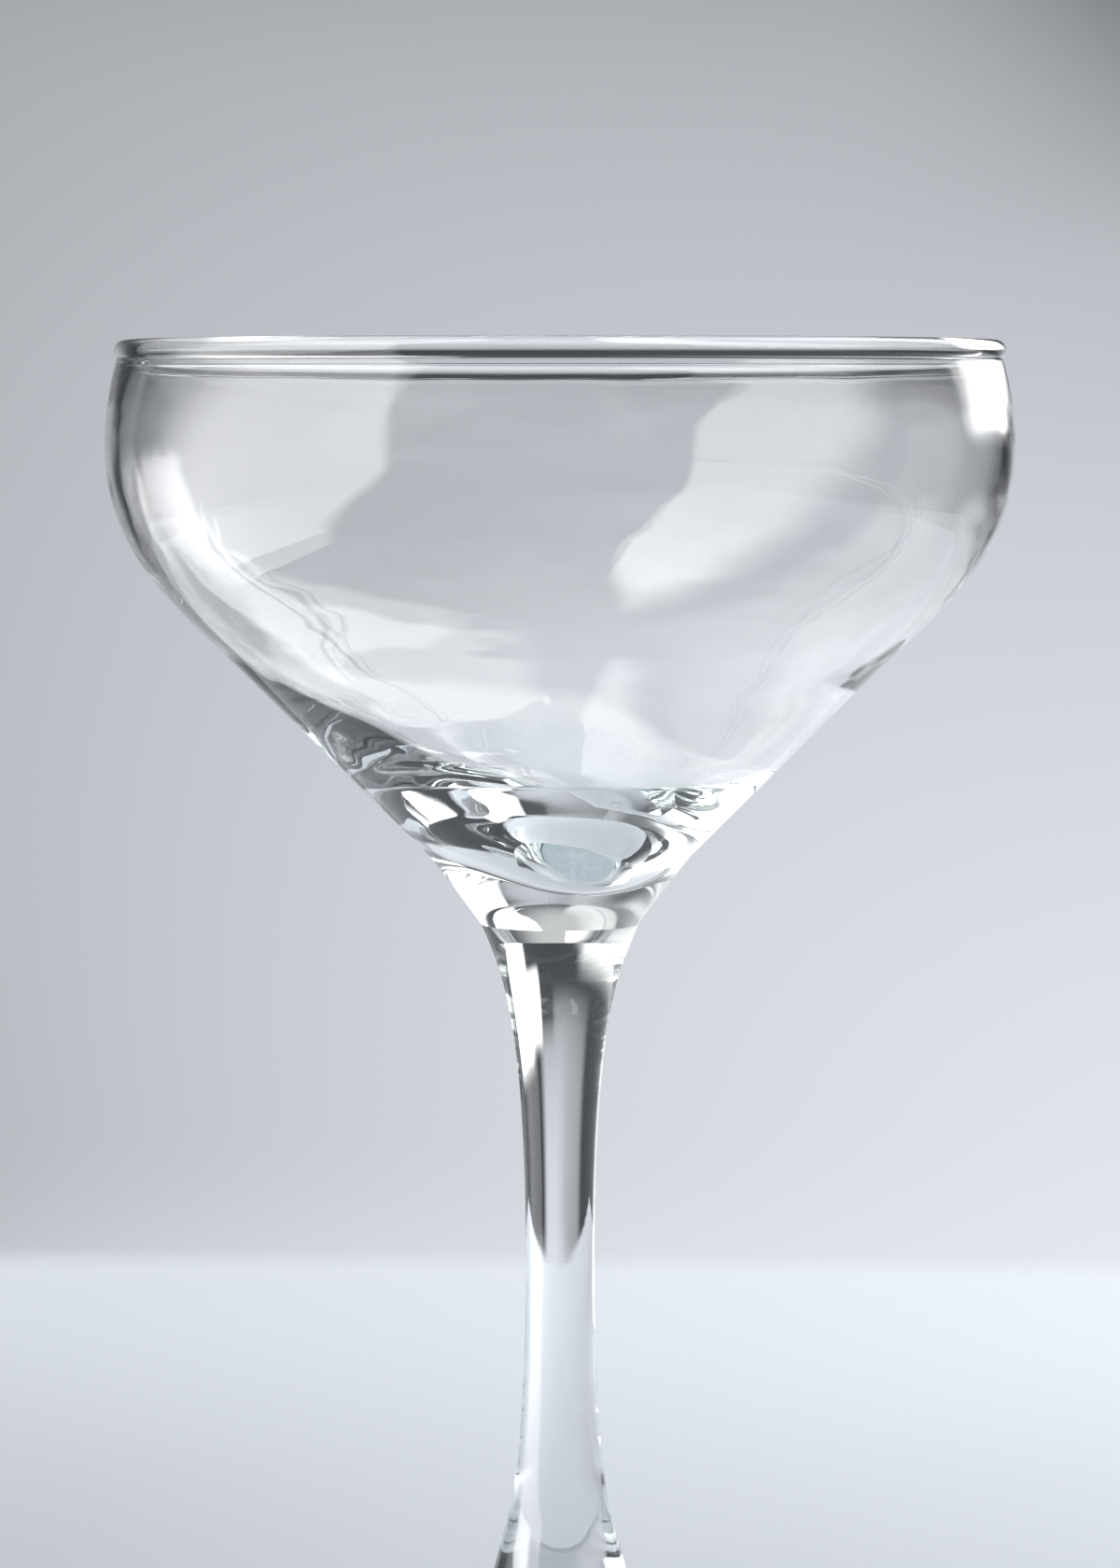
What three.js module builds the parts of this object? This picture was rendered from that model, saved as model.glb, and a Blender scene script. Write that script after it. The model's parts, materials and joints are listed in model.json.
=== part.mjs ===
// A coupe cocktail glass in clear soda-lime glass: a blown bowl with a beaded rim, a solid waisted stem
// and a trumpet foot. The three are formed apart and fused hot on two flat seams.
// Millimetres, +Z up, origin on the table at the glass's own axis.
import * as THREE from "three";

// Bowl, outside
const BOWL_HEIGHT = 64.4; // from the seam on the stem to the top of the rim
const BOWL_DIAMETER = 100; // at the widest
const WIDEST_DEPTH = 11.7; // below the rim
const MOUTH_DIAMETER = 97.3; // outside the wall, just under the bead
const CONE_TOP_DIAMETER = 69.4; // where the round shoulder runs into the straight cone
const CONE_TOP_DEPTH = 36.6; // below the rim
const CONE_END_DIAMETER = 29.6; // where the straight cone starts to draw in
const CONE_END_HEIGHT = 7.9; // above the seam
const BOWL_SEAM_TAPER = 38; // degrees from the axis, just above the seam

// Bowl, bead and wall, which is even round the shoulder, thin down the cone and solid under the well
const BEAD_DIAMETER = 2.5;
const BEAD_OVERHANG = 0.32; // how far the bead stands out from the wall, on the outside
const LIP_WALL = 1.65;
const SHOULDER_WALL = 1.6;
const CONE_TOP_WALL = 1.7;
const WELL_EDGE_WALL = 2; // where the hollow's cone flattens into the well
const WELL_EDGE_HEIGHT = 15.6; // of that wall above the seam, on the outside
const WELL_TIP_DIAMETER = 5.4; // of the well's flat tip, before it is rounded
const WELL_TIP_ROUND = 3.2; // how far up the well's cone the rounding goes
const BASE_THICKNESS = 6.3; // on the axis, from the seam up to the bottom of the hollow

// Stem
const STEM_LENGTH = 66.6; // seam to seam
const SEAM_DIAMETER = 17.5; // stem and bowl share it
const STEM_HEAD_TAPER = 24; // degrees from the axis, just under the bowl
const WAIST_DIAMETER = 7.64;
const WAIST_HEIGHT = 29; // above the foot seam
const FOOT_SEAM_DIAMETER = 11.7; // stem and foot share it
const FOOT_SEAM_TAPER = 15; // degrees from the axis, stem and foot alike

// Foot
const FOOT_HEIGHT = 24; // from the table to the seam on the stem
const FOOT_DIAMETER = 70;
const FOOT_EDGE = 2.8; // thickness of the rounded edge
const FLARE_DIAMETER = 46; // where the trumpet runs out on the disc
const DISC_SLOPE = 7; // degrees, the fall of the disc's top towards its edge
const RING_WIDTH = 5; // flat ring that stands on the table
const HOLLOW_RISE = 1.6; // of the domed underside, on the axis

// How long a curve holds its direction at its two ends, as shares of the distance between them
const THROAT_HOLD = [0.2, 0.2];
const SHOULDER_HOLD = [0.3, 0.42];
const INNER_SHOULDER_HOLD = [0.42, 0.3];
const STEM_FOOT_HOLD = [0.25, 0.2];
const STEM_HEAD_HOLD = [0.7, 0.15];
const FLARE_HOLD = [0.5, 0.5];

// Facets
const SIDES = 64;
const STEPS = 6; // along each curve of a profile

// Heights of the seams and the rim
const FOOT_SEAM = FOOT_HEIGHT;
const BOWL_SEAM = FOOT_SEAM + STEM_LENGTH;
const RIM = BOWL_SEAM + BOWL_HEIGHT;

// Point or direction in a profile, from the axis outwards and up.
const at = (radius, height) => new THREE.Vector2(radius, height);

const UP = at(0, 1);
const DOWN = at(0, -1);

// Direction that leans outwards from straight up by an angle in degrees.
function leaning(degrees) {
  const angle = THREE.MathUtils.degToRad(degrees);
  return at(Math.sin(angle), Math.cos(angle));
}

// Curve from the path's end to a point, which leaves along one direction and arrives along another.
function sweep(path, leave, arrive, end, [leaveHold, arriveHold]) {
  const start = path.currentPoint;
  const span = start.distanceTo(end);
  const first = start.clone().addScaledVector(leave, span * leaveHold);
  const last = end.clone().addScaledVector(arrive, -span * arriveHold);
  path.bezierCurveTo(first.x, first.y, last.x, last.y, end.x, end.y);
}

// Bowl: from the seam up the outside, over the bead and down the inside to the axis.
function bowlProfile() {
  const seamEdge = at(SEAM_DIAMETER / 2, BOWL_SEAM);
  const coneEnd = at(CONE_END_DIAMETER / 2, BOWL_SEAM + CONE_END_HEIGHT);
  const coneTop = at(CONE_TOP_DIAMETER / 2, RIM - CONE_TOP_DEPTH);
  const widest = at(BOWL_DIAMETER / 2, RIM - WIDEST_DEPTH);
  const upCone = coneTop.clone().sub(coneEnd).normalize();
  const intoBowl = at(-upCone.y, upCone.x);

  const beadRadius = BEAD_DIAMETER / 2;
  const beadInset = beadRadius - BEAD_OVERHANG;
  const beadCentre = at(MOUTH_DIAMETER / 2 - beadInset, RIM - beadRadius);
  const underOutside = Math.acos(beadInset / beadRadius);
  const underInside = Math.acos((LIP_WALL - beadInset) / beadRadius);
  const neckHeight = beadCentre.y - beadRadius * Math.sin(underOutside);
  const bulgeHeight = (neckHeight + widest.y) / 2;

  const innerWidest = at(widest.x - SHOULDER_WALL, widest.y);
  const innerConeTop = coneTop.clone().addScaledVector(intoBowl, CONE_TOP_WALL);
  const upToWellEdge = (WELL_EDGE_HEIGHT - CONE_END_HEIGHT) / upCone.y;
  const underWellEdge = coneEnd.clone().addScaledVector(upCone, upToWellEdge);
  const wellEdge = underWellEdge.addScaledVector(intoBowl, WELL_EDGE_WALL);
  const wellTip = at(WELL_TIP_DIAMETER / 2, BOWL_SEAM + BASE_THICKNESS);
  const downCone = wellEdge.clone().sub(innerConeTop).normalize();
  const upWell = wellEdge.clone().sub(wellTip).normalize();
  const wellEnd = wellTip.clone().addScaledVector(upWell, WELL_TIP_ROUND);

  const path = new THREE.Path();
  path.moveTo(0, BOWL_SEAM);
  path.lineTo(seamEdge.x, seamEdge.y);
  sweep(path, leaning(BOWL_SEAM_TAPER), upCone, coneEnd, THROAT_HOLD);
  path.lineTo(coneTop.x, coneTop.y);
  sweep(path, upCone, UP, widest, SHOULDER_HOLD);
  path.quadraticCurveTo(widest.x, bulgeHeight, MOUTH_DIAMETER / 2, neckHeight);
  path.absarc(beadCentre.x, beadCentre.y, beadRadius, -underOutside, Math.PI + underInside);
  path.quadraticCurveTo(innerWidest.x, bulgeHeight, innerWidest.x, innerWidest.y);
  sweep(path, DOWN, downCone, innerConeTop, INNER_SHOULDER_HOLD);
  path.lineTo(wellEdge.x, wellEdge.y);
  path.lineTo(wellEnd.x, wellEnd.y);
  path.quadraticCurveTo(wellTip.x, wellTip.y, 0, wellTip.y);
  return path;
}

// Stem: a solid waisted rod between the two seams.
function stemProfile() {
  const footEdge = at(FOOT_SEAM_DIAMETER / 2, FOOT_SEAM);
  const waist = at(WAIST_DIAMETER / 2, FOOT_SEAM + WAIST_HEIGHT);
  const headEdge = at(SEAM_DIAMETER / 2, BOWL_SEAM);

  const path = new THREE.Path();
  path.moveTo(0, FOOT_SEAM);
  path.lineTo(footEdge.x, footEdge.y);
  sweep(path, leaning(-FOOT_SEAM_TAPER), UP, waist, STEM_FOOT_HOLD);
  sweep(path, UP, leaning(STEM_HEAD_TAPER), headEdge, STEM_HEAD_HOLD);
  path.lineTo(0, BOWL_SEAM);
  return path;
}

// Foot: domed underside, flat ring, rounded edge, sloping disc and the trumpet up to the seam.
function footProfile() {
  const slope = THREE.MathUtils.degToRad(DISC_SLOPE);
  const upDisc = at(-Math.cos(slope), Math.sin(slope));
  const edgeRadius = FOOT_EDGE / 2;
  const edgeCentre = at(FOOT_DIAMETER / 2 - edgeRadius, edgeRadius);
  const discEdge = edgeCentre.clone().addScaledVector(leaning(DISC_SLOPE), edgeRadius);
  const discRise = (discEdge.x - FLARE_DIAMETER / 2) * Math.tan(slope);
  const flareEnd = at(FLARE_DIAMETER / 2, discEdge.y + discRise);
  const seamEdge = at(FOOT_SEAM_DIAMETER / 2, FOOT_SEAM);
  const ringInside = edgeCentre.x - RING_WIDTH;

  const path = new THREE.Path();
  path.moveTo(0, HOLLOW_RISE);
  path.quadraticCurveTo(ringInside / 2, HOLLOW_RISE, ringInside, 0);
  path.lineTo(edgeCentre.x, 0);
  path.absarc(edgeCentre.x, edgeCentre.y, edgeRadius, -Math.PI / 2, Math.PI / 2 - slope);
  path.lineTo(flareEnd.x, flareEnd.y);
  sweep(path, upDisc, leaning(-FOOT_SEAM_TAPER), seamEdge, FLARE_HOLD);
  path.lineTo(0, FOOT_SEAM);
  return path;
}

// Clear glass with the faint grey-green of soda-lime.
function clearGlass() {
  return new THREE.MeshStandardMaterial({
    color: 0xeef3f2,
    roughness: 0.02,
    metalness: 0,
    transparent: true,
    opacity: 0.35,
  });
}

// Body turned about +Z from a profile that starts and ends on the axis.
function turned(name, path) {
  const geometry = new THREE.LatheGeometry(path.getPoints(STEPS), SIDES);
  geometry.rotateX(Math.PI / 2);
  const mesh = new THREE.Mesh(geometry, clearGlass());
  mesh.name = name;
  return mesh;
}

const glass = new THREE.Group();
glass.name = "cocktail_glass";
glass.add(turned("foot", footProfile()));
glass.add(turned("stem", stemProfile()));
glass.add(turned("bowl", bowlProfile()));

export default glass;
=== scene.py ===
"""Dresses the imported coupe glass: fine turned glass pieces, a pale table, studio light and the camera."""

import json
import logging
import math
from dataclasses import dataclass
from enum import Enum
from typing import Any, Union

import bpy
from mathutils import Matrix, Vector

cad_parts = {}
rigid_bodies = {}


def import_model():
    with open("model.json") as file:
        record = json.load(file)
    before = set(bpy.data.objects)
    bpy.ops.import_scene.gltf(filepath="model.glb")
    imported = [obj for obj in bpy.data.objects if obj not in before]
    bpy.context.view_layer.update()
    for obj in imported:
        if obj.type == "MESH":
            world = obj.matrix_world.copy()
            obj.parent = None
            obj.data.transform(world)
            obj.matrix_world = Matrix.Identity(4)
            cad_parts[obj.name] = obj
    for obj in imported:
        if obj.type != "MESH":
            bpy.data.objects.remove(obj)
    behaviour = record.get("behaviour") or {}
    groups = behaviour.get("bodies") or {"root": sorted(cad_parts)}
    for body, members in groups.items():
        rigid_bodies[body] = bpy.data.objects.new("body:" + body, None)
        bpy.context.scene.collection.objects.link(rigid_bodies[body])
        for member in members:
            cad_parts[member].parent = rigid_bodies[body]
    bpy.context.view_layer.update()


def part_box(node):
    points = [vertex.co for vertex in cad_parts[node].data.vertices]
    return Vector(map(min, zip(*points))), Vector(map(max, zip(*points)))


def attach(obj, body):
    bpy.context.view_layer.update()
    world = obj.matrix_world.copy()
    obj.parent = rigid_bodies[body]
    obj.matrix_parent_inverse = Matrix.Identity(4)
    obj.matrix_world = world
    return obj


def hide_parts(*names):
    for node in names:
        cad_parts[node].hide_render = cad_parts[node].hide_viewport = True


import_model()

LOG = logging.getLogger("coupe_glass")
MM = 0.001
PHOTO_WIDTH, PHOTO_HEIGHT = 1200, 1680
GLASS_SLOT = "clear_glass"
BODY = "root"
SEAM = "seam"  # face attribute of the fused seams
SEAM_DISH = 0.04  # mm by which a seam's face is hollowed, so that two pieces share only its edge
LIGHT_BOUNCES = 32
DIFFUSE_BOUNCES = 8
MIX_FACTOR, MIX_FIRST, MIX_SECOND, MIX_RESULT = 0, 6, 7, 2  # sockets of a Mix node for colours

Point = tuple[float, float]
Colour = tuple[float, float, float]
Bend = tuple[float, float, float]
Number = Union[int, float]


class Weight(Enum):
    """Kinds of unevenness, of which each point of a profile takes a share."""

    LUMP = "lump"
    RIPPLE = "ripple"
    LEAN = "lean"


class Sock:
    """A node socket that takes part in Python arithmetic."""

    def __init__(self, tree: "Tree", socket: bpy.types.NodeSocket) -> None:
        """Wraps one output socket of a tree."""
        self.tree = tree
        self.socket = socket

    def math(self, operation: str, *others: Union["Sock", Number]) -> "Sock":
        """Adds a Math node with this socket as its first value.

        Args:
            operation: the Math node's operation.
            others: the values or sockets after the first.

        Returns:
            The node's result.
        """
        return self.tree.math(operation, self, *others)

    def __add__(self, other: Union["Sock", Number]) -> "Sock":
        """Sum."""
        return self.math("ADD", other)

    def __sub__(self, other: Union["Sock", Number]) -> "Sock":
        """Difference."""
        return self.math("SUBTRACT", other)

    def __rsub__(self, other: Number) -> "Sock":
        """Difference from a number."""
        return self.tree.math("SUBTRACT", other, self)

    def __mul__(self, other: Union["Sock", Number]) -> "Sock":
        """Product."""
        return self.math("MULTIPLY", other)

    def __truediv__(self, other: Union["Sock", Number]) -> "Sock":
        """Quotient."""
        return self.math("DIVIDE", other)

    def __rtruediv__(self, other: Number) -> "Sock":
        """Quotient of a number by this socket."""
        return self.tree.math("DIVIDE", other, self)

    def __mod__(self, other: Union["Sock", Number]) -> "Sock":
        """Remainder."""
        return self.math("FLOORED_MODULO", other)

    __radd__ = __add__
    __rmul__ = __mul__


class Tree:
    """Adds nodes to one node tree, for a shader or for geometry."""

    def __init__(self, tree: bpy.types.NodeTree) -> None:
        """Takes an empty tree."""
        self.tree = tree

    def node(self, kind: str, settings: dict[str, Any] | None = None,
             sockets: dict[Union[str, int], Any] | None = None) -> bpy.types.Node:
        """Adds one node.

        Args:
            kind: the node's type.
            settings: attributes of the node, set before its sockets.
            sockets: values or links of its inputs, by name or index.

        Returns:
            The new node.
        """
        made = self.tree.nodes.new(kind)
        for name, value in (settings or {}).items():
            setattr(made, name, value)
        for key, value in (sockets or {}).items():
            if isinstance(value, Sock):
                self.tree.links.new(value.socket, made.inputs[key])
            else:
                made.inputs[key].default_value = value
        return made

    def out(self, kind: str, settings: dict[str, Any] | None = None,
            sockets: dict[Union[str, int], Any] | None = None, output: Union[str, int] = 0) -> Sock:
        """Adds one node and wraps one of its outputs.

        Args:
            kind: the node's type.
            settings: attributes of the node.
            sockets: values or links of its inputs.
            output: name or index of the output that is wanted.

        Returns:
            That output.
        """
        return Sock(self, self.node(kind, settings, sockets).outputs[output])

    def math(self, operation: str, *values: Union[Sock, Number]) -> Sock:
        """Adds a Math node and gives its result."""
        return self.out("ShaderNodeMath", {"operation": operation}, dict(enumerate(values)))

    def smooth(self, value: Sock, low: float, high: float) -> Sock:
        """Smooth step of a value from 0 at low to 1 at high."""
        stops = {"Value": value, "From Min": low, "From Max": high}
        return self.out("ShaderNodeMapRange", {"interpolation_type": "SMOOTHSTEP"}, stops)

    def combine(self, x: Union[Sock, Number], y: Union[Sock, Number], z: Union[Sock, Number]) -> Sock:
        """Vector of three values."""
        return self.out("ShaderNodeCombineXYZ", None, {"X": x, "Y": y, "Z": z})

    def split(self, vector: Sock) -> tuple[Sock, Sock, Sock]:
        """Three values of a vector."""
        made = self.node("ShaderNodeSeparateXYZ", None, {0: vector})
        return tuple(Sock(self, made.outputs[i]) for i in range(3))


def fresh_tree(owner: Union[bpy.types.Material, bpy.types.World, bpy.types.Light]) -> Tree:
    """Empties the shader tree of a material, world or light.

    Args:
        owner: what the tree belongs to.

    Returns:
        The empty tree.
    """
    owner.use_nodes = True
    owner.node_tree.nodes.clear()
    return Tree(owner.node_tree)


def add_object(name: str, data: bpy.types.ID) -> bpy.types.Object:
    """Adds an object to the scene.

    Args:
        name: the object's name.
        data: its mesh, light or camera.

    Returns:
        The new object.
    """
    made = bpy.data.objects.new(name, data)
    bpy.context.scene.collection.objects.link(made)
    return made


def direction(degrees: float) -> Vector:
    """Unit vector in a profile that leans outwards from straight up by an angle."""
    angle = math.radians(degrees)
    return Vector((math.sin(angle), math.cos(angle)))


def sweep(start: Vector, leave: Vector, end: Vector, arrive: Vector,
          holds: Point, steps: int) -> list[Vector]:
    """Points on a curve that leaves and arrives along given directions.

    Args:
        start: first point, which isn't repeated in the result.
        leave: unit direction at the start.
        end: last point.
        arrive: unit direction at the end.
        holds: how long each end holds its direction, as shares of the span.
        steps: number of points.

    Returns:
        The points after the start.
    """
    span = (end - start).length
    first = start + leave * span * holds[0]
    last = end - arrive * span * holds[1]
    points = []
    for step in range(1, steps + 1):
        t = step / steps
        s = 1 - t
        points.append(start * s ** 3 + first * (3 * s * s * t) + last * (3 * s * t * t) + end * t ** 3)
    return points


def bow(start: Vector, control: Vector, end: Vector, steps: int) -> list[Vector]:
    """Points on a parabola with one control point.

    Args:
        start: first point, which isn't repeated in the result.
        control: where the directions at the two ends meet.
        end: last point.
        steps: number of points.

    Returns:
        The points after the start.
    """
    points = []
    for step in range(1, steps + 1):
        t = step / steps
        s = 1 - t
        points.append(start * s * s + control * (2 * s * t) + end * t * t)
    return points


def arc(centre: Vector, radius: float, begin: float, finish: float, steps: int) -> list[Vector]:
    """Points on a circle between two angles.

    Args:
        centre: middle of the circle.
        radius: its radius.
        begin: first angle, in radians.
        finish: last angle, in radians.
        steps: number of steps between them.

    Returns:
        The points, both ends among them.
    """
    points = []
    for step in range(steps + 1):
        angle = begin + (finish - begin) * step / steps
        points.append(centre + Vector((math.cos(angle), math.sin(angle))) * radius)
    return points


def straight(start: Vector, end: Vector, steps: int) -> list[Vector]:
    """Points after the start on a straight line."""
    return [start.lerp(end, step / steps) for step in range(1, steps + 1)]


def step_up(value: float, low: float, high: float) -> float:
    """Smooth step of a number from 0 at low to 1 at high."""
    t = min(max((value - low) / (high - low), 0), 1)
    return t * t * (3 - 2 * t)


@dataclass(frozen=True)
class ClearGlass:
    """Fire-polished soda-lime glass: clear, blue-green where it is thick, with fine striae and smudges.

    Lengths are in millimetres.
    """

    ior: float = 1.52
    tint: Colour = (0.66, 0.82, 0.83)
    density: float = 5.5
    striae_length: float = 1.6
    striae_depth: float = 0.002
    striae_detail: float = 2.0
    smudge_length: float = 18
    smudge_detail: float = 3.0
    smudge_range: Point = (0.58, 0.75)
    smudge_roughness: float = 0.03

    def material(self) -> bpy.types.Material:
        """Builds the glass.

        Returns:
            A material that reads the face attribute of the fused seams.
        """
        made = bpy.data.materials.new(GLASS_SLOT)
        tree = fresh_tree(made)
        seam = tree.out("ShaderNodeAttribute", {"attribute_name": SEAM}, None, "Fac")
        place = tree.out("ShaderNodeTexCoord", None, None, "Object")
        x, y, z = tree.split(place)
        round_axis = tree.combine((x * x + y * y).math("SQRT"), z, 0)
        striae = tree.out("ShaderNodeTexNoise", None, {
            "Vector": round_axis, "Scale": 1 / (self.striae_length * MM), "Detail": self.striae_detail,
        })
        relief = tree.out("ShaderNodeBump", None, {
            "Height": striae, "Distance": self.striae_depth * MM, "Strength": 1.0,
        })
        smudge = tree.out("ShaderNodeTexNoise", None, {
            "Vector": place, "Scale": 1 / (self.smudge_length * MM), "Detail": self.smudge_detail,
        })
        roughness = tree.smooth(smudge, *self.smudge_range) * self.smudge_roughness
        glass = tree.out("ShaderNodeBsdfPrincipled", None, {
            "Base Color": (1, 1, 1, 1), "Roughness": roughness, "IOR": self.ior,
            "Transmission Weight": 1.0, "Alpha": 1 - seam, "Normal": relief,
        })
        colour = tree.out("ShaderNodeVolumeAbsorption", None, {
            "Color": (*self.tint, 1), "Density": self.density,
        })
        tree.node("ShaderNodeOutputMaterial", None, {"Surface": glass, "Volume": colour})
        return made


@dataclass(frozen=True)
class Unevenness:
    """How far hot-worked glass strays from a true turned shape, in millimetres."""

    lump_height: float = 0.45
    lump_length: float = 15
    lump_stretch: float = 1.6
    ripple_height: float = 0.03
    ripple_length: float = 9
    ripple_stretch: float = 2.5
    lean: float = 2.2
    thin_side: float = 0.6
    seed: float = 3.0


class Turning:
    """Geometry Nodes tree that turns a profile, given as a line of points, about the axis."""

    INPUTS = (("Geometry", "Geometry"), ("Sides", "Int"), ("Lower Seam", "Float"), ("Upper Seam", "Float"),
              ("Lump Height", "Float"), ("Lump Length", "Float"), ("Lump Stretch", "Float"),
              ("Ripple Height", "Float"), ("Ripple Length", "Float"), ("Ripple Stretch", "Float"),
              ("Lean", "Float"), ("Thin Side", "Float"), ("Seed", "Float"), ("Material", "Material"))
    # Kind of unevenness, its name in the inputs, what it adds to the seed, and the noise's detail
    NOISES = ((Weight.LUMP, "Lump", 0, 0.5), (Weight.RIPPLE, "Ripple", 7, 1.0))
    # Millimetres to the right of the axis where the thin side is thinnest, and where the lumps fade out
    THIN_REACH = 18
    CALM_FROM, CALM_TO = -8, 10
    LUMP_MOST = 1.15
    MERGE_DISTANCE = 1e-7
    SHARP_ANGLE = 30

    def __init__(self) -> None:
        """Builds the tree once, for every piece."""
        group = bpy.data.node_groups.new("turned_glass", "GeometryNodeTree")
        group.interface.new_socket("Geometry", in_out="OUTPUT", socket_type="NodeSocketGeometry")
        self.ids = {}
        for name, kind in self.INPUTS:
            made = group.interface.new_socket(name, in_out="INPUT", socket_type=f"NodeSocket{kind}")
            self.ids[name] = made.identifier
        self.group = group
        self._wire(Tree(group))

    def _wire(self, tree: Tree) -> None:
        """Adds the nodes.

        Args:
            tree: the empty tree.
        """
        given = tree.node("NodeGroupInput")
        get = {name: Sock(tree, given.outputs[name]) for name in self.ids}
        rows = tree.out("GeometryNodeAttributeDomainSize", {"component": "MESH"},
                        {"Geometry": get["Geometry"]}, "Point Count")
        columns = get["Sides"] + 1
        grid = tree.out("GeometryNodeMeshGrid", None, {"Vertices X": rows, "Vertices Y": columns})
        index = tree.out("GeometryNodeInputIndex")
        row = (index / columns).math("FLOOR")
        turn = (index % columns) / get["Sides"] * -math.tau
        place = tree.out("GeometryNodeInputPosition")
        sample = tree.out("GeometryNodeSampleIndex", {"data_type": "FLOAT_VECTOR"},
                          {"Geometry": get["Geometry"], "Value": place, "Index": row})
        radius, _, height = tree.split(sample)
        target = tree.combine(radius * turn.math("COSINE"), radius * turn.math("SINE"), height)
        shape = grid
        for name in (kind.value for kind in Weight):
            weight = tree.out("GeometryNodeInputNamedAttribute", {"data_type": "FLOAT"}, {"Name": name})
            value = tree.out("GeometryNodeSampleIndex", {"data_type": "FLOAT"},
                             {"Geometry": get["Geometry"], "Value": weight, "Index": row})
            shape = tree.out("GeometryNodeStoreNamedAttribute", {"data_type": "FLOAT", "domain": "POINT"},
                             {"Geometry": shape, "Name": name, "Value": value})
        turned = tree.out("GeometryNodeSetPosition", None, {"Geometry": shape, "Position": target})
        merged = tree.out("GeometryNodeMergeByDistance", None,
                          {"Geometry": turned, "Distance": self.MERGE_DISTANCE})
        uneven = tree.out("GeometryNodeSetPosition", None,
                          {"Geometry": merged, "Offset": self._offset(tree, get)})
        _, _, level = tree.split(tree.out("GeometryNodeInputPosition"))
        low, high = ((level - get[name]).math("ABSOLUTE").math("LESS_THAN", SEAM_DISH * MM)
                     for name in ("Lower Seam", "Upper Seam"))
        marked = tree.out("GeometryNodeStoreNamedAttribute", {"data_type": "FLOAT", "domain": "FACE"},
                          {"Geometry": uneven, "Name": SEAM, "Value": low + high})
        smooth = tree.out("GeometryNodeSetShadeSmooth", None, {"Geometry": marked})
        dressed = tree.out("GeometryNodeSetMaterial", None,
                           {"Geometry": smooth, "Material": get["Material"]})
        tree.node("NodeGroupOutput", None, {"Geometry": dressed})

    @classmethod
    def _offset(cls, tree: Tree, get: dict[str, Sock]) -> Sock:
        """Offset of each point: thin side, lumps and ripples along its normal, and the lean of the well.

        Args:
            tree: the tree that gets the nodes.
            get: the tree's inputs by name.

        Returns:
            A vector to add to each point's place.
        """
        x, y, z = tree.split(tree.out("GeometryNodeInputPosition"))
        share = {kind: tree.out("GeometryNodeInputNamedAttribute", {"data_type": "FLOAT"},
                                {"Name": kind.value}) for kind in Weight}
        rise = share[Weight.LUMP] * tree.smooth(x, 0, cls.THIN_REACH * MM) * get["Thin Side"] * -1
        calm = tree.smooth(x, cls.CALM_FROM * MM, cls.CALM_TO * MM)
        share[Weight.LUMP] = share[Weight.LUMP] * (cls.LUMP_MOST - calm)
        for kind, name, seed, detail in cls.NOISES:
            noise = tree.out("ShaderNodeTexNoise", {"noise_dimensions": "4D"}, {
                "Vector": tree.combine(x, y, z * get[name + " Stretch"]), "W": get["Seed"] + seed,
                "Scale": 1 / get[name + " Length"], "Detail": detail,
            })
            rise = rise + (noise * 2 - 1) * share[kind] * get[name + " Height"]
        normal = tree.out("GeometryNodeInputNormal")
        along = tree.out("ShaderNodeVectorMath", {"operation": "SCALE"}, {0: normal, "Scale": rise})
        aside = tree.combine(share[Weight.LEAN] * get["Lean"], 0, 0)
        return tree.out("ShaderNodeVectorMath", {"operation": "ADD"}, {0: along, 1: aside})

    def turn(self, name: str, piece: "TurnedPiece", seams: Point, uneven: Unevenness,
             material: bpy.types.Material) -> bpy.types.Object:
        """Turns one piece.

        Args:
            name: the new object's name.
            piece: the piece, which gives its profile and weights.
            seams: heights of the fused seams in millimetres.
            uneven: size of the lumps and ripples.
            material: the finish.

        Returns:
            The finished object, a plain closed mesh.
        """
        profile = piece.profile()
        line = bpy.data.meshes.new(name + "_line")
        line.from_pydata([(p.x * MM, 0, p.y * MM) for p in profile],
                         [(i, i + 1) for i in range(len(profile) - 1)], [])
        for key, weights in piece.weights(profile).items():
            line.attributes.new(key.value, "FLOAT", "POINT").data.foreach_set("value", weights)
        turned = add_object(name, line)
        modifier = turned.modifiers.new("turned_glass", "NODES")
        modifier.node_group = self.group
        values = {"Sides": piece.sides, "Lower Seam": seams[0] * MM, "Upper Seam": seams[1] * MM,
                  "Lump Height": uneven.lump_height * MM, "Lump Length": uneven.lump_length * MM,
                  "Lump Stretch": uneven.lump_stretch, "Ripple Height": uneven.ripple_height * MM,
                  "Ripple Length": uneven.ripple_length * MM, "Ripple Stretch": uneven.ripple_stretch,
                  "Lean": uneven.lean * MM, "Thin Side": uneven.thin_side * MM, "Seed": uneven.seed,
                  "Material": material}
        for key, value in values.items():
            modifier[self.ids[key]] = value
        ready = turned.evaluated_get(bpy.context.evaluated_depsgraph_get())
        mesh = bpy.data.meshes.new_from_object(ready)
        turned.modifiers.clear()
        turned.data = mesh
        mesh.name = name
        bpy.data.meshes.remove(line)
        mesh.set_sharp_from_angle(angle=math.radians(self.SHARP_ANGLE))
        return turned


class TurnedPiece:
    """Piece of glass that is turned about the axis from a profile, in millimetres."""

    sides: int

    def profile(self) -> list[Vector]:
        """Points of radius and height, from axis to axis."""
        raise NotImplementedError

    def weights(self, profile: list[Vector]) -> dict[Weight, list[float]]:
        """Shares of the unevenness that each point of the profile takes."""
        raise NotImplementedError


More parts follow.
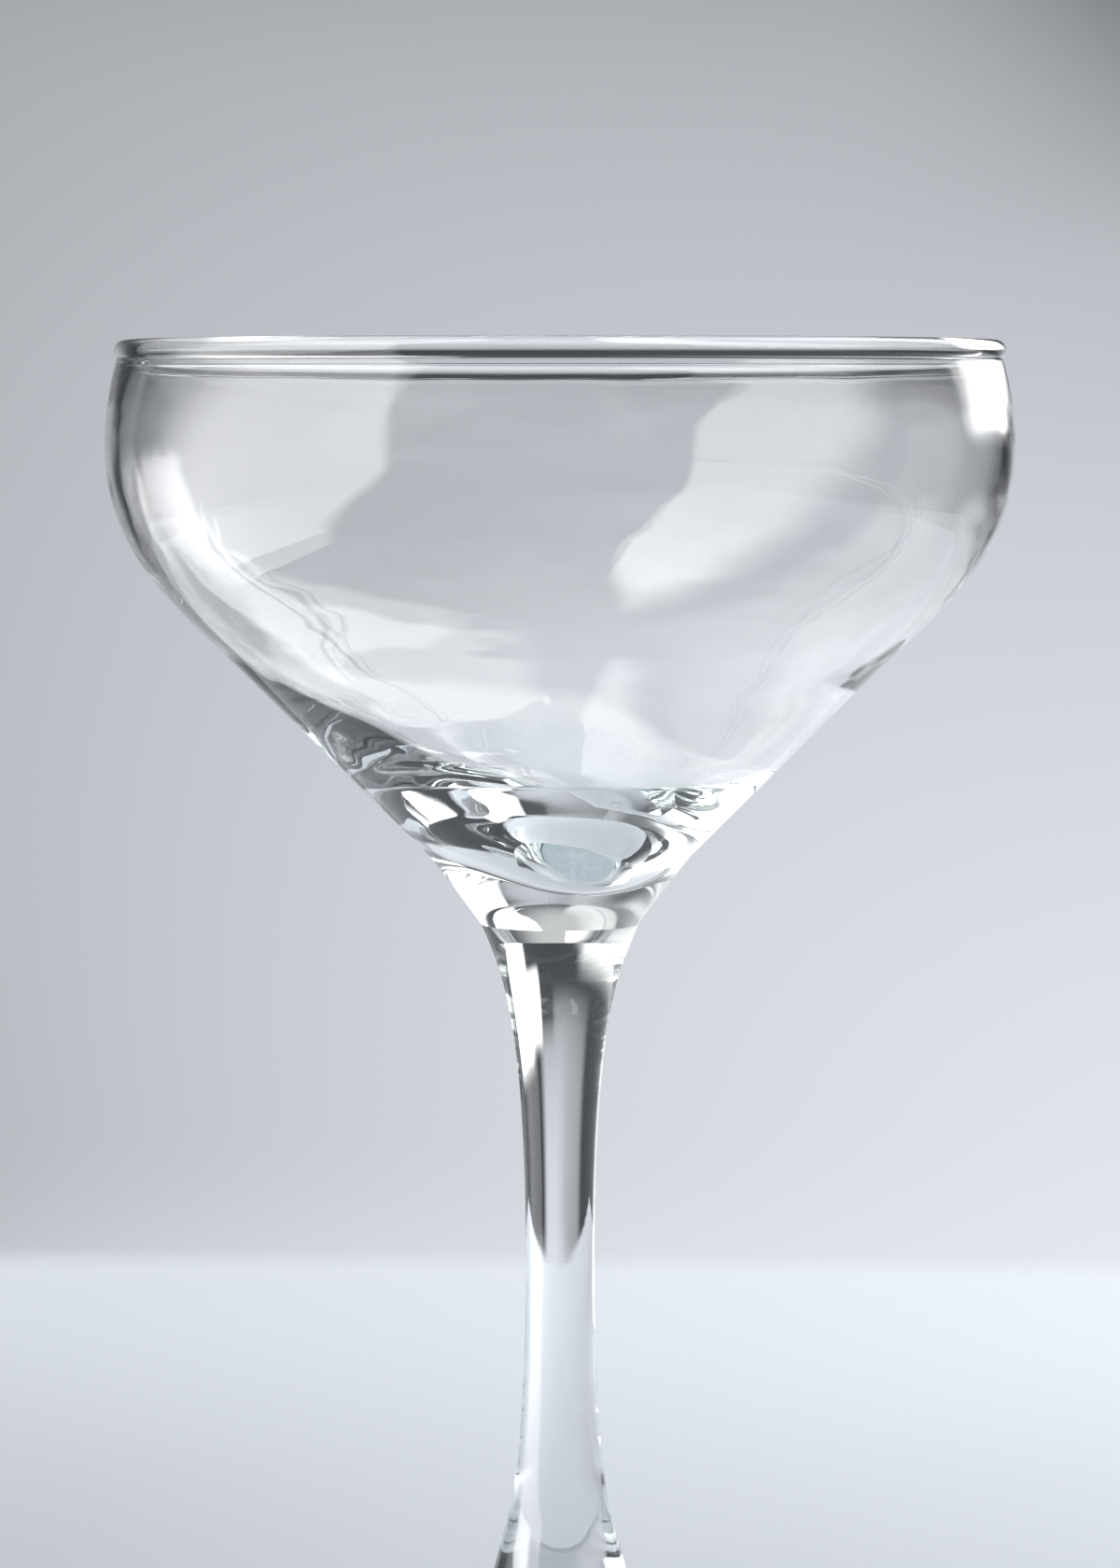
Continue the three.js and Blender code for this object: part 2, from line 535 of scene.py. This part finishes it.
@dataclass
class Stem(TurnedPiece):
    """Solid waisted rod between the two fused seams."""

    low: float
    high: float
    head_diameter: float = 17.5
    head_taper: float = 24
    waist_diameter: float = 7.64
    waist_height: float = 29
    foot_diameter: float = 11.7
    foot_taper: float = 15
    foot_hold: Point = (0.25, 0.2)
    head_hold: Point = (0.7, 0.15)
    ripple_share: float = 0.4
    seam_calm: float = 4
    sides: int = 160
    steps: int = 70

    def profile(self) -> list[Vector]:
        """Outline from the foot seam up to the bowl seam.

        Returns:
            The points from axis to axis.
        """
        up = direction(0)
        start = Vector((self.foot_diameter / 2, self.low))
        waist = Vector((self.waist_diameter / 2, self.low + self.waist_height))
        head = Vector((self.head_diameter / 2, self.high))
        points = [Vector((0, self.low + SEAM_DISH)), start]
        points += sweep(start, direction(-self.foot_taper), waist, up, self.foot_hold, self.steps)
        points += sweep(waist, up, head, direction(self.head_taper), self.head_hold, self.steps)
        return points + [Vector((0, self.high - SEAM_DISH))]

    def weights(self, profile: list[Vector]) -> dict[Weight, list[float]]:
        """Ripples along the rod, none at its seams.

        Args:
            profile: the points of the outline.

        Returns:
            The share of each point, for each kind of unevenness.
        """
        ripple = []
        for p in profile:
            start = step_up(p.y, self.low, self.low + self.seam_calm)
            end = 1 - step_up(p.y, self.high - self.seam_calm, self.high)
            ripple.append(start * end * self.ripple_share)
        none = [0.0] * len(profile)
        return {Weight.LUMP: none, Weight.RIPPLE: ripple, Weight.LEAN: none}


@dataclass
class Foot(TurnedPiece):
    """Round foot with a trumpet neck, a rounded edge and a domed underside."""

    high: float
    diameter: float
    seam_diameter: float = 11.7
    seam_taper: float = 15
    edge: float = 2.8
    flare_diameter: float = 46
    slope: float = 7
    ring: float = 5
    hollow: float = 1.6
    flare_hold: Point = (0.5, 0.5)
    ripple_share: float = 0.6
    edge_calm: float = 2
    seam_calm: float = 4
    sides: int = 256
    hollow_steps: int = 30
    ring_steps: int = 4
    edge_steps: int = 28
    disc_steps: int = 10
    flare_steps: int = 60

    def profile(self) -> list[Vector]:
        """Outline from the axis under the foot, round its edge and up to the seam.

        Returns:
            The points from axis to axis.
        """
        slope = math.radians(self.slope)
        radius = self.edge / 2
        centre = Vector((self.diameter / 2 - radius, radius))
        inside = Vector((centre.x - self.ring, 0))
        top = Vector((0, self.hollow))
        ring_end = Vector((centre.x, 0))
        points = [top] + bow(top, Vector((inside.x / 2, self.hollow)), inside, self.hollow_steps)
        points += straight(inside, ring_end, self.ring_steps)
        points += arc(centre, radius, -math.pi / 2, math.pi / 2 - slope, self.edge_steps)[1:]
        edge = points[-1]
        flare = self.flare_diameter / 2
        end = Vector((flare, edge.y + (edge.x - flare) * math.tan(slope)))
        points += straight(edge, end, self.disc_steps)
        up_disc = Vector((-math.cos(slope), math.sin(slope)))
        seam = Vector((self.seam_diameter / 2, self.high))
        points += sweep(end, up_disc, seam, direction(-self.seam_taper), self.flare_hold, self.flare_steps)
        return points + [Vector((0, self.high - SEAM_DISH))]

    def weights(self, profile: list[Vector]) -> dict[Weight, list[float]]:
        """Ripples on the upper side, none at the seam or on the ring that stands on the table.

        Args:
            profile: the points of the outline.

        Returns:
            The share of each point, for each kind of unevenness.
        """
        ripple = []
        for p in profile:
            start = step_up(p.y, self.edge, self.edge + self.edge_calm)
            end = 1 - step_up(p.y, self.high - self.seam_calm, self.high)
            ripple.append(start * end * self.ripple_share)
        none = [0.0] * len(profile)
        return {Weight.LUMP: none, Weight.RIPPLE: ripple, Weight.LEAN: none}


@dataclass
class Bowl(TurnedPiece):
    """Blown bowl: a beaded rim, a straight cone and a thick base with a shallow well."""

    low: float
    rim: float
    diameter: float
    widest_depth: float = 11.7
    mouth_diameter: float = 97.3
    cone_top_diameter: float = 69.4
    cone_top_depth: float = 36.6
    cone_end_diameter: float = 29.6
    cone_end_height: float = 7.9
    seam_diameter: float = 17.5
    seam_taper: float = 38
    bead: float = 2.5
    bead_overhang: float = 0.32
    lip_wall: float = 1.65
    shoulder_wall: float = 1.6
    cone_top_wall: float = 1.05
    well_edge_wall: float = 2.5
    well_edge_height: float = 15.6
    cone_slope: float = 43
    well_edge_slope: float = 37
    cone_hold: Point = (0.3, 0.3)
    well_tip_diameter: float = 5.0
    well_tip_round: float = 3.0
    base: float = 6.4
    throat_hold: Point = (0.2, 0.2)
    shoulder_hold: Point = (0.3, 0.42)
    bead_fillet: float = 0.15
    inner_fillet: float = 0.5
    # Unevenness: depths below the rim, then heights above the seam or the base
    rim_calm: Point = (8, 4)
    lump_start: float = 5
    lump_end: Point = (17, 27)
    lean_end: float = 29
    seam_calm: float = 6
    outer_ripple: float = 0.5
    sides: int = 240
    throat_steps: int = 20
    cone_steps: int = 36
    shoulder_steps: int = 50
    bulge_steps: int = 20
    bead_steps: int = 48
    fillet_steps: int = 5
    hollow_steps: int = 40
    well_steps: int = 30
    tip_steps: int = 14

    def profile(self) -> list[Vector]:
        """Outline from the seam up the outside, over the bead and down the hollow to the axis.

        Returns:
            The points from axis to axis.
        """
        up = direction(0)
        seam = Vector((self.seam_diameter / 2, self.low))
        cone_end = Vector((self.cone_end_diameter / 2, self.low + self.cone_end_height))
        cone_top = Vector((self.cone_top_diameter / 2, self.rim - self.cone_top_depth))
        widest = Vector((self.diameter / 2, self.rim - self.widest_depth))
        up_cone = (cone_top - cone_end).normalized()
        into = Vector((-up_cone.y, up_cone.x))

        radius = self.bead / 2
        inset = radius - self.bead_overhang
        centre = Vector((self.mouth_diameter / 2 - inset, self.rim - radius))
        under = math.acos(inset / radius)
        inner_under = math.acos((self.lip_wall - inset) / radius)
        crease = Vector((centre.x + inset, centre.y - radius * math.sin(under)))
        inner_crease = Vector((crease.x - self.lip_wall, centre.y - radius * math.sin(inner_under)))
        neck, inner_neck = (at - Vector((0, fillet)) for at, fillet in
                            ((crease, self.bead_fillet), (inner_crease, self.inner_fillet)))
        turn, inner_turn = self.bead_fillet / radius, self.inner_fillet / radius
        round_bead = arc(centre, radius, turn - under, math.pi + inner_under - inner_turn, self.bead_steps)
        bulge = (neck.y + widest.y) / 2

        inner_widest = Vector((widest.x - self.shoulder_wall, widest.y))
        inner_cone_top = cone_top + into * self.cone_top_wall
        rise = (self.well_edge_height - self.cone_end_height) / up_cone.y
        well_edge = cone_end + up_cone * rise + into * self.well_edge_wall
        tip = Vector((self.well_tip_diameter / 2, self.low + self.base))
        down_cone, to_edge = (direction(-90 - slope) for slope in (self.cone_slope, self.well_edge_slope))
        up_well = (well_edge - tip).normalized()
        well_end = tip + up_well * self.well_tip_round
        inner_hold = self.shoulder_hold[::-1]

        points = [Vector((0, self.low + SEAM_DISH)), seam]
        points += sweep(seam, direction(self.seam_taper), cone_end, up_cone,
                        self.throat_hold, self.throat_steps)
        points += straight(cone_end, cone_top, self.cone_steps)
        points += sweep(cone_top, up_cone, widest, up, self.shoulder_hold, self.shoulder_steps)
        points += bow(widest, Vector((widest.x, bulge)), neck, self.bulge_steps)
        points += bow(neck, crease, round_bead[0], self.fillet_steps)
        points += round_bead[1:]
        points += bow(round_bead[-1], inner_crease, inner_neck, self.fillet_steps)
        points += bow(inner_neck, Vector((inner_widest.x, bulge)), inner_widest, self.bulge_steps)
        points += sweep(inner_widest, -up, inner_cone_top, down_cone, inner_hold, self.shoulder_steps)
        points += sweep(inner_cone_top, down_cone, well_edge, to_edge, self.cone_hold, self.hollow_steps)
        points += straight(well_edge, well_end, self.well_steps)
        return points + bow(well_end, tip, Vector((0, tip.y)), self.tip_steps)

    def weights(self, profile: list[Vector]) -> dict[Weight, list[float]]:
        """Lumps and lean in the hollow's lower end, ripples on both sides of the wall, none on the bead.

        Args:
            profile: the points of the outline.

        Returns:
            The share of each point, for each kind of unevenness.
        """
        top = max(range(len(profile)), key=lambda i: profile[i].y)
        made: dict[Weight, list[float]] = {kind: [] for kind in Weight}
        for i, p in enumerate(profile):
            inside = i > top
            above = p.y - self.low
            wall = 1 - step_up(p.y, self.rim - self.rim_calm[0], self.rim - self.rim_calm[1])
            outer = wall * step_up(above, 0, self.seam_calm) * self.outer_ripple
            lump = step_up(above, self.base, self.base + self.lump_start)
            lump *= 1 - step_up(above, *self.lump_end)
            lean = 1 - step_up(above, self.base, self.lean_end)
            made[Weight.LUMP].append(lump if inside else 0.0)
            made[Weight.RIPPLE].append(wall if inside else outer)
            made[Weight.LEAN].append(lean if inside else 0.0)
        return made


@dataclass(frozen=True)
class Panel:
    """Soft-edged bright window in the directions round the glass, in degrees.

    The azimuth is 0 straight behind the glass and grows to the right. The soft edges are those on the left,
    right, low and high side. The lean turns the upper part to the right.
    """

    azimuth: Point
    elevation: Point
    strength: float
    soft: tuple[float, float, float, float]
    tint: Colour = (1.0, 1.0, 1.0)
    lean: float = 0.0


@dataclass(frozen=True)
class Gradient:
    """How the backdrop's brightness changes across and up, and in its upper right corner, in degrees."""

    reach: float = 6
    level: float = 1.4
    below: float = -13
    above: float = 4
    across: float = 0.0047
    up_fall: float = 0.0296
    twist_fall: float = 0.002
    across_bend: float = 0.0012
    up_bend: float = 0.0015
    left_fall: float = 0.0094
    corner_start: float = 2.6
    corner_fall: float = 0.0052

    def glow(self, middle: float, azimuth: Sock, elevation: Sock) -> Sock:
        """Brightness of the backdrop in every direction.

        Args:
            middle: brightness straight behind the glass, at the gradient's level.
            azimuth: angle round the glass, in degrees.
            elevation: angle above the horizon, in degrees.

        Returns:
            The brightness.
        """
        a = azimuth.math("MINIMUM", self.reach).math("MAXIMUM", -self.reach)
        e = (elevation - self.level).math("MINIMUM", self.above).math("MAXIMUM", self.below)
        glow = middle + a * self.across - e * self.up_fall - a * e * self.twist_fall
        glow = glow - a * a * self.across_bend - e * e * self.up_bend
        glow = glow + (azimuth + self.reach).math("MINIMUM", 0) * self.left_fall
        corner = (a - self.corner_start).math("MAXIMUM", 0)
        return glow - corner * corner * e.math("MAXIMUM", 0) * self.corner_fall


@dataclass
class Studio:
    """World of soft light: a grey backdrop, bright panels and walls, and a dim room.

    The panels are the glow of the floor, the wall at the back left, the ceiling, and the tall panel on the
    right with its wider foot.
    """

    panels: tuple[Panel, ...] = (
        Panel((-8, 50), (-40, -9.5), 0.84, (6, 8, 3, 2), (0.97, 1.0, 1.06)),
        Panel((-75, -13), (19, 74), 1.1, (6, 4, 8, 6)),
        Panel((-400, 400), (66, 120), 0.6, (3, 3, 16, 3)),
        Panel((15.5, 54), (3, 16), 2.9, (1.5, 3, 2.5, 4)),
        Panel((26, 53), (2, 82), 3.1, (2.5, 3, 3, 4), lean=15),
    )
    lean_levels: Point = (40, 66)
    backdrop: Panel = Panel((-24, 17), (-40, 8), 0.532, (4, 4, 3, 5), (0.968, 1.0, 1.072))
    gradient: Gradient = Gradient()
    room: Colour = (0.046, 0.05, 0.056)

    def light(self) -> None:
        """Builds the world."""
        world = bpy.data.worlds.new("studio")
        bpy.context.scene.world = world
        tree = fresh_tree(world)
        x, y, z = tree.split(tree.out("ShaderNodeTexCoord", None, None, "Generated"))
        azimuth = tree.math("ARCTAN2", x, y) * math.degrees(1)
        elevation = z.math("ARCSINE") * math.degrees(1)
        glow = self.gradient.glow(self.backdrop.strength, azimuth, elevation)
        grey = tree.combine(*(glow * tint for tint in self.backdrop.tint))
        inside = self._window(tree, azimuth, elevation, self.backdrop)
        colour = self._mix(tree, inside, (*self.room, 1), grey)
        for panel in self.panels:
            white = (*(panel.strength * tint for tint in panel.tint), 1)
            turned = azimuth - tree.smooth(elevation, *self.lean_levels) * panel.lean
            colour = self._mix(tree, self._window(tree, turned, elevation, panel), colour, white)
        shade = tree.out("ShaderNodeBackground", None, {"Color": colour, "Strength": 1.0})
        tree.node("ShaderNodeOutputWorld", None, {"Surface": shade})

    @staticmethod
    def _mix(tree: Tree, factor: Sock, first: Any, second: Any) -> Sock:
        """Mix of two colours."""
        sockets = {MIX_FACTOR: factor, MIX_FIRST: first, MIX_SECOND: second}
        return tree.out("ShaderNodeMix", {"data_type": "RGBA"}, sockets, MIX_RESULT)

    @staticmethod
    def _window(tree: Tree, azimuth: Sock, elevation: Sock, panel: Panel) -> Sock:
        """Soft-edged mask of a panel.

        Args:
            tree: the tree that gets the nodes.
            azimuth: angle round the glass, in degrees.
            elevation: angle above the horizon, in degrees.
            panel: the panel.

        Returns:
            A value that is 1 inside the panel and 0 outside it.
        """
        left, right, low, high = panel.soft
        mask = 1
        for angle, (start, end), begin, finish in ((azimuth, panel.azimuth, left, right),
                                                   (elevation, panel.elevation, low, high)):
            rise = tree.smooth(angle, start - begin, start + begin)
            fall = 1 - tree.smooth(angle, end - finish, end + finish)
            mask = mask * rise * fall
        return mask


@dataclass
class SoftBox:
    """Upright soft box close to the glass on its left, brighter higher up, in millimetres.

    Its two upright edges bend: each bend has the levels where it starts and ends, and how far it brings the
    edge to the front.
    """

    side: float = -190
    front: float = -380
    back: float = 130
    low: float = 2
    high: float = 1400
    front_edge: float = -95
    front_bends: tuple[Bend, ...] = ((0, 115, 130), (180, 700, 130))
    front_soft: float = 14
    back_edge: float = 66
    back_bends: tuple[Bend, ...] = ((60, 230, 71),)
    back_soft: float = 50
    top_fade: float = 900
    rise: float = 0.4
    rise_levels: Point = (200, 600)
    strength: float = 2.8

    def build(self) -> None:
        """Adds the soft box as an area light that faces the glass."""
        data = bpy.data.lights.new("soft_box", "AREA")
        data.shape = "RECTANGLE"
        data.size = (self.back - self.front) * MM
        data.size_y = (self.high - self.low) * MM
        data.energy = self.strength * math.pi * data.size * data.size_y
        tree = fresh_tree(data)
        across, up, _ = tree.split(tree.out("ShaderNodeNewGeometry", None, None, "Parametric"))
        along = self.back - across * (self.back - self.front)
        level = self.low + up * (self.high - self.low)
        front = self._edge(tree, level, self.front_edge, self.front_bends)
        back = self._edge(tree, level, self.back_edge, self.back_bends)
        glow = tree.smooth(along - front, -self.front_soft, self.front_soft)
        glow = glow * (1 - tree.smooth(along - back, -self.back_soft, self.back_soft))
        glow = glow * (1 - tree.smooth(level, self.top_fade, self.high))
        glow = glow * (1 + tree.smooth(level, *self.rise_levels) * self.rise)
        shade = tree.out("ShaderNodeEmission", None, {"Color": tree.combine(glow, glow, glow)})
        tree.node("ShaderNodeOutputLight", None, {"Surface": shade})
        box = add_object("soft_box", data)
        middle = ((self.front + self.back) / 2, (self.low + self.high) / 2)
        box.location = Vector((self.side, *middle)) * MM
        box.rotation_euler = (math.pi / 2, 0, -math.pi / 2)
        box.visible_camera = True

    @staticmethod
    def _edge(tree: Tree, level: Sock, start: float, bends: tuple[Bend, ...]) -> Union[Sock, float]:
        """Place of an upright edge at every level.

        Args:
            tree: the tree that gets the nodes.
            level: height above the table.
            start: place of the edge below its bends.
            bends: the bends, from the lowest up.

        Returns:
            How far back the edge is.
        """
        edge = start
        for low, high, shift in bends:
            edge = edge - tree.smooth(level, low, high) * shift
        return edge


@dataclass
class Table:
    """Pale table under the glass, in millimetres, with painted light: its colour is painted lighter to the
    back and the right, where more light falls, and it glows a little by itself, with a painted pool of
    light.

    The painted light and the glow's lift change with each metre across and back.
    """

    far: float = 330
    near: float = -400
    left: float = -400
    right: float = 400
    turn: float = -3.8
    fade: float = 15
    gap: float = 0.1
    colour: Colour = (0.785, 0.83, 0.895)
    roughness: float = 0.6
    specular: float = 0.2
    side_reach: float = 100
    painted_light: float = 0.52
    painted_light_back: float = 0.75
    painted_light_across: float = 1.4
    painted_light_least: float = 0.12
    painted_light_glow: float = 0.45
    pool_across: Point = (-170, -70)
    pool_back: Point = (60, 200)
    pool_glow: float = 0.3
    lift_back: Point = (0, 280)
    lift: float = 0.215
    lift_across: float = 0.6

    def build(self) -> None:
        """Adds the table under the glass."""
        mesh = bpy.data.meshes.new("table")
        left, right, near, far = (v * MM for v in (self.left, self.right, self.near, self.far + self.fade))
        corners = [(left, near, 0), (right, near, 0), (right, far, 0), (left, far, 0)]
        mesh.from_pydata(corners, [], [(0, 1, 2, 3)])
        table = add_object("table", mesh)
        table.location.z = -self.gap * MM
        table.rotation_euler.z = math.radians(self.turn)
        mesh.materials.append(self.material())

    def material(self) -> bpy.types.Material:
        """Builds the table's material: its colour carries painted light, it glows a little by itself as
        painted light, and it fades out at its far edge.

        Returns:
            The material.
        """
        made = bpy.data.materials.new("pale_table")
        tree = fresh_tree(made)
        x, y, _ = tree.split(tree.out("ShaderNodeTexCoord", None, None, "Object"))
        edge = 1 - tree.smooth(y, (self.far - self.fade) * MM, (self.far + self.fade) * MM)
        side = x.math("MINIMUM", self.side_reach * MM).math("MAXIMUM", -self.side_reach * MM)
        # Painted light: the base colour is lighter to the back and the right, to stand in for how the
        # studio light falls on the table, and never below a least share.
        share = self.painted_light + y * self.painted_light_back + side * self.painted_light_across
        share = share.math("MAXIMUM", self.painted_light_least)
        # Painted pool of light: the table glows more by itself on the left, near the soft box.
        pool = 1 - tree.smooth(x, *(v * MM for v in self.pool_across))
        pool = pool * (1 - tree.smooth(y.math("ABSOLUTE"), *(v * MM for v in self.pool_back)))
        # Painted light: the table glows more by itself towards the back, and less to the right.
        lift = tree.smooth(y, *(v * MM for v in self.lift_back)) * (self.lift - side * self.lift_across)
        # The table's own glow is painted light, made from the painted colour, the pool and the lift.
        light = share * self.painted_light_glow + pool * self.pool_glow + lift
        shade = tree.out("ShaderNodeBsdfPrincipled", None, {
            "Base Color": tree.combine(*(share * c for c in self.colour)), "Roughness": self.roughness,
            "Specular IOR Level": self.specular, "Alpha": edge,
            "Emission Color": tree.combine(*(light * c for c in self.colour)), "Emission Strength": 1.0,
        })
        tree.node("ShaderNodeOutputMaterial", None, {"Surface": shade})
        return made


@dataclass
class ViewCamera:
    """Camera at the photograph's place, a little below the level of the rim, in millimetres and pixels."""

    rim_height: float
    distance: float = 600
    above_rim: float = -6.5
    pixels_per_mm: float = 9.69
    rim_row: float = 366
    axis_column: float = 600
    clip_start: float = 10

    def build(self) -> None:
        """Adds the camera, aimed at the middle of the picture."""
        middle = self.rim_height - (PHOTO_HEIGHT / 2 - self.rim_row) / self.pixels_per_mm
        across = (PHOTO_WIDTH / 2 - self.axis_column) / self.pixels_per_mm
        place = Vector((across, -self.distance, self.rim_height + self.above_rim)) * MM
        target = Vector((across, 0, middle)) * MM
        data = bpy.data.cameras.new("view")
        camera = add_object("view", data)
        camera.location = place
        camera.rotation_euler = (target - place).to_track_quat("-Z", "Y").to_euler()
        data.lens = (target - place).length * data.sensor_width / (PHOTO_HEIGHT / self.pixels_per_mm * MM)
        data.clip_start = self.clip_start * MM
        bpy.context.scene.camera = camera


def main() -> None:
    """Builds the glass, the table, the light and the camera."""
    logging.basicConfig(level=logging.INFO, format="%(message)s")
    scene = bpy.context.scene
    scene.view_settings.view_transform = "Standard"
    scene.cycles.max_bounces = LIGHT_BOUNCES
    scene.cycles.diffuse_bounces = DIFFUSE_BOUNCES
    scene.cycles.blur_glossy = 0
    scene.cycles.glossy_bounces = LIGHT_BOUNCES
    scene.cycles.transmission_bounces = LIGHT_BOUNCES
    scene.cycles.transparent_max_bounces = LIGHT_BOUNCES
    boxes = {node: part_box(node) for node in ("foot", "stem", "bowl")}
    low, high = (boxes["stem"][i].z / MM for i in range(2))
    rim = boxes["bowl"][1].z / MM
    pieces = {
        "foot": Foot(high=low, diameter=(boxes["foot"][1].x - boxes["foot"][0].x) / MM),
        "stem": Stem(low=low, high=high),
        "bowl": Bowl(low=high, rim=rim, diameter=(boxes["bowl"][1].x - boxes["bowl"][0].x) / MM),
    }
    glass = ClearGlass().material()
    turning = Turning()
    for name, part in pieces.items():
        piece = turning.turn("glass_" + name, part, (low, high), Unevenness(), glass)
        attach(piece, BODY)
        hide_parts(name)
        LOG.info("%s: %d faces", piece.name, len(piece.data.polygons))
    Table().build()
    Studio().light()
    SoftBox().build()
    ViewCamera(rim_height=rim).build()


if __name__ == "__main__":
    main()
